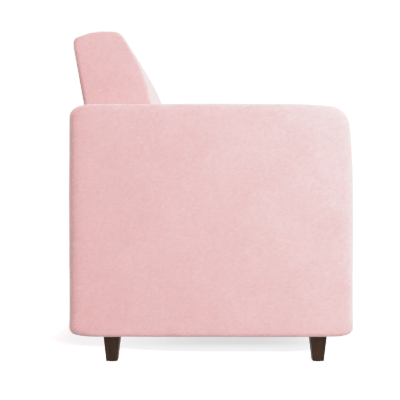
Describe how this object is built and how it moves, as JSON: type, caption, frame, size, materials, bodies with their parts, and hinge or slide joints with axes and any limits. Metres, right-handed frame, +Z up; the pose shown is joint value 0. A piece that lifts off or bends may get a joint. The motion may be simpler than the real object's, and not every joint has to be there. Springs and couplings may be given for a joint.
{
  "type": "upholstered armchair",
  "caption": "Box-arm upholstered armchair with a leaning back, a loose seat cushion that lifts off and short tapered wooden legs.",
  "frame": {"origin": "on the floor under the middle of the chair", "axes": "+Z up; the sitter faces -Y; +X towards the sitter's left arm"},
  "size_m": [0.75, 0.7218, 0.859],
  "materials": {
    "cover_fabric": "brushed pink microsuede",
    "foam": null,
    "frame_wood": "planed, unfinished softwood and plywood",
    "hardboard": "smooth brown hardboard",
    "leg_wood": "dark stained, satin",
    "steel": "plain zinc-plated steel",
    "webbing": "woven elastic webbing",
    "deck_cloth": "plain lining cloth",
    "dust_cloth": "black non-woven cloth",
    "glide_plastic": "matt",
    "zip_tape": "pink zip tape with a nylon coil",
    "zip_metal": "enamelled pink"
  },
  "bodies": {
    "chair": {"arm_bolts": "steel", "arm_bottom_board_left": "frame_wood", "arm_bottom_board_right": "frame_wood", "arm_cover_left": "cover_fabric", "arm_cover_right": "cover_fabric", "arm_foam_left": "foam", "arm_foam_right": "foam", "arm_front_board_left": "frame_wood", "arm_front_board_right": "frame_wood", "arm_inner_panel_left": "hardboard", "arm_inner_panel_right": "hardboard", "arm_mount_rail_left": "frame_wood", "arm_mount_rail_right": "frame_wood", "arm_outer_panel_left": "hardboard", "arm_outer_panel_right": "hardboard", "arm_rear_board_left": "frame_wood", "arm_rear_board_right": "frame_wood", "arm_tee_nuts": "steel", "arm_top_board_left": "frame_wood", "arm_top_board_right": "frame_wood", "back_bolts": "steel", "back_bottom_rail": "frame_wood", "back_cover": "cover_fabric", "back_foam": "foam", "back_middle_rail": "frame_wood", "back_post_left": "frame_wood", "back_post_right": "frame_wood", "back_tee_nuts": "steel", "back_top_rail": "frame_wood", "back_webbing": "webbing", "corner_block_screws": "steel", "corner_blocks": "frame_wood", "dust_cover": "dust_cloth", "dust_cover_staples": "steel", "front_border_foam": "foam", "leg_front_left": "leg_wood", "leg_front_right": "leg_wood", "leg_glides": "glide_plastic", "leg_hanger_bolts": "steel", "leg_rear_left": "leg_wood", "leg_rear_right": "leg_wood", "leg_tee_nuts": "steel", "outside_back_board": "hardboard", "outside_back_cover": "cover_fabric", "seat_deck_cloth": "deck_cloth", "seat_deck_foam": "foam", "seat_front_border": "cover_fabric", "seat_front_rail": "frame_wood", "seat_rear_rail": "frame_wood", "seat_side_rail_left": "frame_wood", "seat_side_rail_right": "frame_wood", "seat_springs": "steel", "spring_clips": "steel", "spring_tie_wires": "steel"},
    "seat_cushion": {"cushion_cover": "cover_fabric", "cushion_foam": "foam", "cushion_zip": "zip_tape"},
    "zip_slider": {"zip_slider": "zip_metal"}
  },
  "joints": [
    {"name": "seat_cushion_lift", "type": "slide", "parent": "chair", "child": "seat_cushion", "axis": [0, 0, 1], "range_m": [0, 0.38]},
    {"name": "zip_slide", "type": "slide", "parent": "seat_cushion", "child": "zip_slider", "axis": [-1, 0, 0], "range_m": [0, 0.38]}
  ]
}
